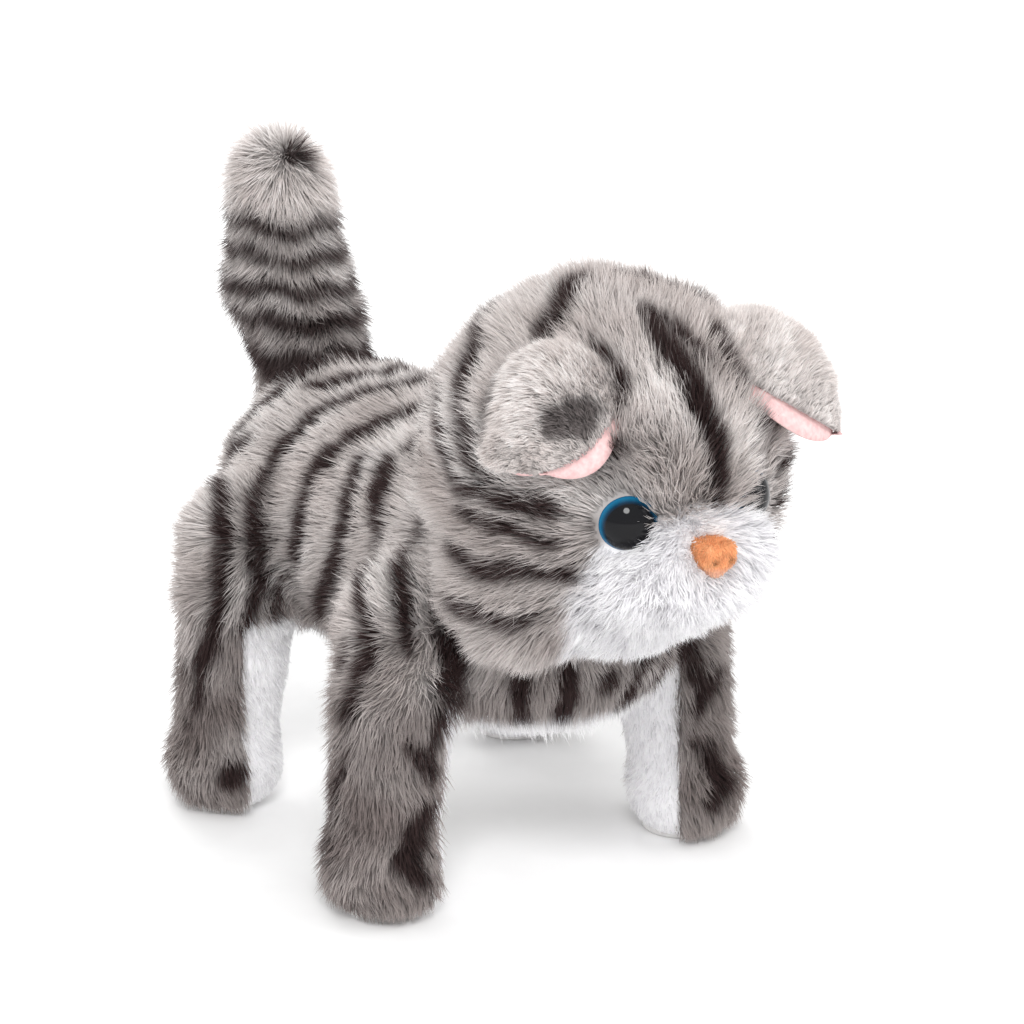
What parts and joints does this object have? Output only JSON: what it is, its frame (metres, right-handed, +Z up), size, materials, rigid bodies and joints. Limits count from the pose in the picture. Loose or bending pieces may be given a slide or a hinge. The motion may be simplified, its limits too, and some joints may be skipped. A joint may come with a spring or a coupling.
{
  "type": "walking plush cat toy",
  "caption": "Battery-powered walking plush kitten with striped fur, white muzzle and belly, folded ears, upright tail, swinging legs, nodding head and a belly battery door.",
  "frame": {"origin": "on the floor, under the middle of the length and width", "axes": "+Z up, the kitten faces -Y, its left side is +X"},
  "size_m": [0.116, 0.2037, 0.159],
  "materials": {
    "fur_grey": "long pile",
    "fur_white": "short pile",
    "felt_pink": "felt",
    "stuffing": "fibre",
    "nose_flock": "flocked",
    "eye_gloss": "polished",
    "shell_plastic": "moulded",
    "gear_plastic": "moulded",
    "steel": "plain",
    "brass": "plain",
    "sole_rubber": "matt",
    "cell_jacket": "printed",
    "knob_black": "moulded",
    "board_green": "lacquered"
  },
  "bodies": {
    "body": {"body_fur": "fur_grey", "belly_panel": "fur_white", "tail_pin": "steel", "neck_post": "shell_plastic", "hip_pins": "steel", "idler_shaft": "steel", "motor": "steel", "chassis_lower": "shell_plastic", "chassis_upper": "shell_plastic", "chassis_screws": "steel", "battery_cells": "cell_jacket", "battery_contacts": "steel", "switch_body": "knob_black", "circuit_board": "board_green", "speaker": "knob_black"},
    "head": {"head_fur": "fur_grey", "head_stuffing": "stuffing", "head_frame": "shell_plastic", "muzzle": "fur_white", "nose": "nose_flock", "eye_left": "eye_gloss", "eye_right": "eye_gloss", "eye_washers": "gear_plastic", "ear_left": "fur_grey", "ear_right": "fur_grey", "ear_lining_left": "felt_pink", "ear_lining_right": "felt_pink", "neck_pin": "steel"},
    "tail": {"tail_fur": "fur_grey", "tail_core": "stuffing", "tail_lever": "shell_plastic"},
    "rod_left": {"link_rod_left": "shell_plastic"},
    "rod_right": {"link_rod_right": "shell_plastic"},
    "crank": {"crankshaft": "steel", "crank_gear": "gear_plastic", "crank_disc_left": "gear_plastic", "crank_disc_right": "gear_plastic"},
    "idler": {"idler_gear": "gear_plastic"},
    "rotor": {"motor_pinion": "brass", "motor_shaft": "steel"},
    "door": {"battery_door": "shell_plastic", "door_screw": "steel"},
    "switch_knob": {"power_switch": "knob_black"},
    "leg_front_left": {"leg_fur_front_left": "fur_grey", "leg_lining_front_left": "fur_white", "leg_frame_front_left": "shell_plastic", "foot_pad_front_left": "sole_rubber"},
    "leg_front_right": {"leg_fur_front_right": "fur_grey", "leg_lining_front_right": "fur_white", "leg_frame_front_right": "shell_plastic", "foot_pad_front_right": "sole_rubber"},
    "leg_rear_left": {"leg_fur_rear_left": "fur_grey", "leg_lining_rear_left": "fur_white", "leg_frame_rear_left": "shell_plastic", "foot_pad_rear_left": "sole_rubber"},
    "leg_rear_right": {"leg_fur_rear_right": "fur_grey", "leg_lining_rear_right": "fur_white", "leg_frame_rear_right": "shell_plastic", "foot_pad_rear_right": "sole_rubber"}
  },
  "joints": [
    {"name": "leg_front_right_swing", "type": "hinge", "parent": "body", "child": "leg_front_right", "pos_m": [-0.044, -0.0265, 0.064], "axis": [1, 0, 0], "range_deg": [-12, 12]},
    {"name": "leg_rear_right_swing", "type": "hinge", "parent": "body", "child": "leg_rear_right", "pos_m": [-0.044, 0.051, 0.064], "axis": [1, 0, 0], "range_deg": [-12, 12]},
    {"name": "leg_front_left_swing", "type": "hinge", "parent": "body", "child": "leg_front_left", "pos_m": [0.044, -0.0265, 0.064], "axis": [1, 0, 0], "range_deg": [-12, 12]},
    {"name": "leg_rear_left_swing", "type": "hinge", "parent": "body", "child": "leg_rear_left", "pos_m": [0.044, 0.051, 0.064], "axis": [1, 0, 0], "range_deg": [-12, 12]},
    {"name": "rod_right_turn", "type": "hinge", "parent": "leg_front_right", "child": "rod_right", "pos_m": [-0.0275, -0.0265, 0.073], "axis": [1, 0, 0], "range_deg": [-12, 12]},
    {"name": "rod_left_turn", "type": "hinge", "parent": "leg_front_left", "child": "rod_left", "pos_m": [0.0275, -0.0265, 0.073], "axis": [1, 0, 0], "range_deg": [-12, 12]},
    {"name": "head_nod", "type": "hinge", "parent": "body", "child": "head", "pos_m": [0, -0.056, 0.112], "axis": [1, 0, 0], "range_deg": [-8, 8]},
    {"name": "tail_wag", "type": "hinge", "parent": "body", "child": "tail", "pos_m": [0, 0.07, 0.09], "axis": [0, 1, 0], "range_deg": [-12, 12]},
    {"name": "crank_spin", "type": "hinge", "parent": "body", "child": "crank", "pos_m": [0, 0.051, 0.079], "axis": [1, 0, 0], "continuous": true},
    {"name": "idler_spin", "type": "hinge", "parent": "body", "child": "idler", "pos_m": [0, 0.03843, 0.0801], "axis": [1, 0, 0], "continuous": true},
    {"name": "motor_spin", "type": "hinge", "parent": "body", "child": "rotor", "pos_m": [0, 0.026, 0.07791], "axis": [1, 0, 0], "continuous": true},
    {"name": "door_lift", "type": "slide", "parent": "body", "child": "door", "axis": [0, 0, -1], "range_m": [0, 0.02]},
    {"name": "switch_slide", "type": "slide", "parent": "body", "child": "switch_knob", "axis": [1, 0, 0], "range_m": [0, 0.003]}
  ],
  "couplings": [
    {"joint": "leg_rear_right_swing", "follows": "leg_front_right_swing", "ratio": 1},
    {"joint": "leg_front_left_swing", "follows": "leg_front_right_swing", "ratio": -1},
    {"joint": "leg_rear_left_swing", "follows": "leg_front_right_swing", "ratio": -1},
    {"joint": "rod_right_turn", "follows": "leg_front_right_swing", "ratio": -1},
    {"joint": "rod_left_turn", "follows": "leg_front_right_swing", "ratio": 1},
    {"joint": "idler_spin", "follows": "crank_spin", "ratio": -4},
    {"joint": "motor_spin", "follows": "crank_spin", "ratio": 16}
  ]
}
